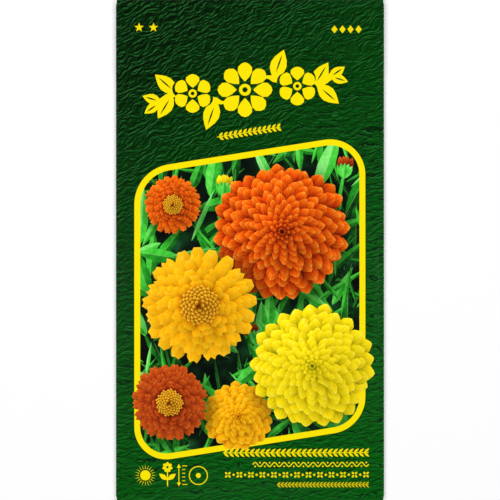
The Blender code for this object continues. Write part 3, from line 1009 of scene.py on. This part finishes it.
# The seeds
# Loose dry fruits about 10 mm long: a slim, ribbed, near-black husk that narrows to its foot, and straw
# coloured papery scales that stand at its upper end. Each lies where its CAD solid lies.
SEED_BODY = 0.0072
SEED_TUFT = 0.003
SEED_WIDTH = 0.00105
SEED_THICKNESS = 0.0008
HUSK_SIZES = ((0, 0.28), (0.08, 0.42), (0.3, 0.74), (0.55, 0.94), (0.8, 1), (0.94, 0.86), (1, 0.66))
HUSK_GROOVE = 0.86
SCALE_LENGTHS = (0.55, 0.95, 0.6, 1, 0.5)
SCALE_SPREAD = 0.13
SAME_PLACE = 1e-6


def streaked(name, width, shades):
    """A material streaked along the seed, what adds nodes to it, its streaks and their colours."""
    made, add = new_material(name)
    place = add("Attribute", attribute_name="seed_mm", out="Vector")
    streaks = add("TexNoise", add("Mapping", place, Scale=width), Scale=1.4)
    return made, add, streaks, add("ValToRGB", streaks, stops=shades)


# The husk is dull and streaked lengthways, every 0.1 mm. The scales are thin and pale, and streaked finer.
shades = [(0.35, "#15100c"), (0.55, "#2a211a"), (0.75, "#54442f")]
husk, add, streaks, tint = streaked("dry ribbed seed husk", (0.5, 7, 7), shades)
surface(add, tint, 0.55, 0.3, add("Bump", Strength=0.5, Distance=0.00004, Height=streaks))
shades = [(0.3, "#b59a62"), (0.7, "#e6d3a0")]
straw, add, _, tint = streaked("dry papery straw", (0.6, 9, 9), shades)
surface(add, tint, 0.7, 0.2)

# The husk is a twelve-sided rod, cut into rings that are drawn in, with four grooves pressed along it.
foot = -(SEED_BODY + SEED_TUFT) / 2
crown_level = foot + SEED_BODY
bpy.ops.mesh.primitive_cylinder_add(vertices=12, radius=0.5, depth=SEED_BODY, rotation=(0, math.pi / 2, 0))
bpy.context.object.location.x = foot + SEED_BODY / 2
bpy.context.object.scale = (SEED_THICKNESS, SEED_WIDTH, 1)
bpy.ops.object.transform_apply()
seed_model = bpy.context.object
bpy.ops.object.mode_set(mode="EDIT")
for share, _ in HUSK_SIZES[1:-1]:
    bpy.ops.mesh.select_all(action="SELECT")
    bpy.ops.mesh.bisect(plane_co=(foot + share * SEED_BODY, 0, 0), plane_no=(1, 0, 0))
shape = bmesh.from_edit_mesh(seed_model.data)
for share, size in HUSK_SIZES:
    x = foot + share * SEED_BODY
    for corner in shape.verts:
        corner.select = abs(corner.co.x - x) < SAME_PLACE
    shape.select_flush_mode()
    bpy.ops.transform.resize(value=(1, size, size), center_override=(x, 0, 0))
    shape = bmesh.from_edit_mesh(seed_model.data)
for corner in shape.verts:
    turn = math.degrees(math.atan2(corner.co.z / SEED_THICKNESS, corner.co.y / SEED_WIDTH))
    if round(turn / 30) % 3 == 0:
        corner.co.yz = corner.co.yz * HUSK_GROOVE

# The flat crown is parted into five strips, and each is drawn out in two steps to a scale of its own length.
crown = max(shape.faces, key=lambda face: face.calc_center_median().x)
rim = sorted(crown.verts, key=lambda corner: math.atan2(corner.co.z, corner.co.y))
bmesh.ops.delete(shape, geom=[crown], context="FACES_ONLY")
for k in range(5):
    shape.faces.new([rim[k], rim[k + 1], rim[10 - k], rim[11 - k]])
bmesh.ops.recalc_face_normals(shape, faces=shape.faces)
bmesh.update_edit_mesh(seed_model.data)
for number, length in enumerate(SCALE_LENGTHS):
    bpy.ops.mesh.select_all(action="DESELECT")
    shape = bmesh.from_edit_mesh(seed_model.data)
    flat_faces = [face for face in shape.faces if abs(face.normal.x) > 0.9]
    strips = [face for face in flat_faces if abs(face.calc_center_median().x - crown_level) < SAME_PLACE]
    strip = min(strips, key=lambda face: face.calc_center_median().y)
    strip.select_set(True)
    middle = strip.calc_center_median()
    bmesh.update_edit_mesh(seed_model.data)
    scale = Vector((SEED_TUFT * length, SEED_WIDTH * SCALE_SPREAD * (number - 2), 0))
    for part, size in ((0.55, 0.9), (0.45, 0.25)):
        bpy.ops.mesh.extrude_region_move(TRANSFORM_OT_translate={"value": scale * part})
        middle = middle + scale * part
        bpy.ops.transform.resize(value=(1, size, 0.45), center_override=middle)
bpy.ops.object.mode_set(mode="OBJECT")
seed_model.data.materials.append(husk)
seed_model.data.materials.append(straw)
for face in seed_model.data.polygons:
    face.material_index = int(face.center.x > crown_level + SAME_PLACE)
seed_model.data.shade_smooth()
seed_model.data.set_sharp_from_angle(angle=math.radians(45))
own_mm = [value * 1000 for corner in seed_model.data.vertices for value in corner.co]
seed_model.data.attributes.new("seed_mm", "FLOAT_VECTOR", "POINT").data.foreach_set("vector", own_mm)


def seed_pose(node_name):
    """The middle and the direction, foot to tuft, of a CAD seed. Its tuft end is the wider one."""
    low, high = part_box(node_name)
    corners = [corner.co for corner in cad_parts[node_name].data.vertices]
    middle = (Vector(low) + Vector(high)) / 2
    far = max(corners, key=lambda co: (co - middle).length)
    other = max(corners, key=lambda co: (co - far).length)
    way = Vector((far.x - other.x, far.y - other.y, 0)).normalized()
    spans = []
    for end in (way, -way):
        tip = max(corner.dot(end) for corner in corners)
        across = [way.cross(corner).z for corner in corners if corner.dot(end) > tip - 0.0002]
        spans.append(max(across) - min(across))
    return middle, way if spans[0] > spans[1] else -way


for name in sorted(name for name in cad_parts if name.startswith("seed_")):
    middle, way = seed_pose(name)
    seed = seed_model.copy()
    seed.data = seed_model.data.copy()
    seed.name = seed.data.name = "dry_" + name
    scene.collection.objects.link(seed)
    for corner in seed.data.vertices:
        x, y, z = corner.co
        corner.co = (middle.x + x * way.x - y * way.y, middle.y + x * way.y + y * way.x, middle.z + z)
    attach(seed, "root")
    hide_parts(name)
bpy.data.objects.remove(seed_model)
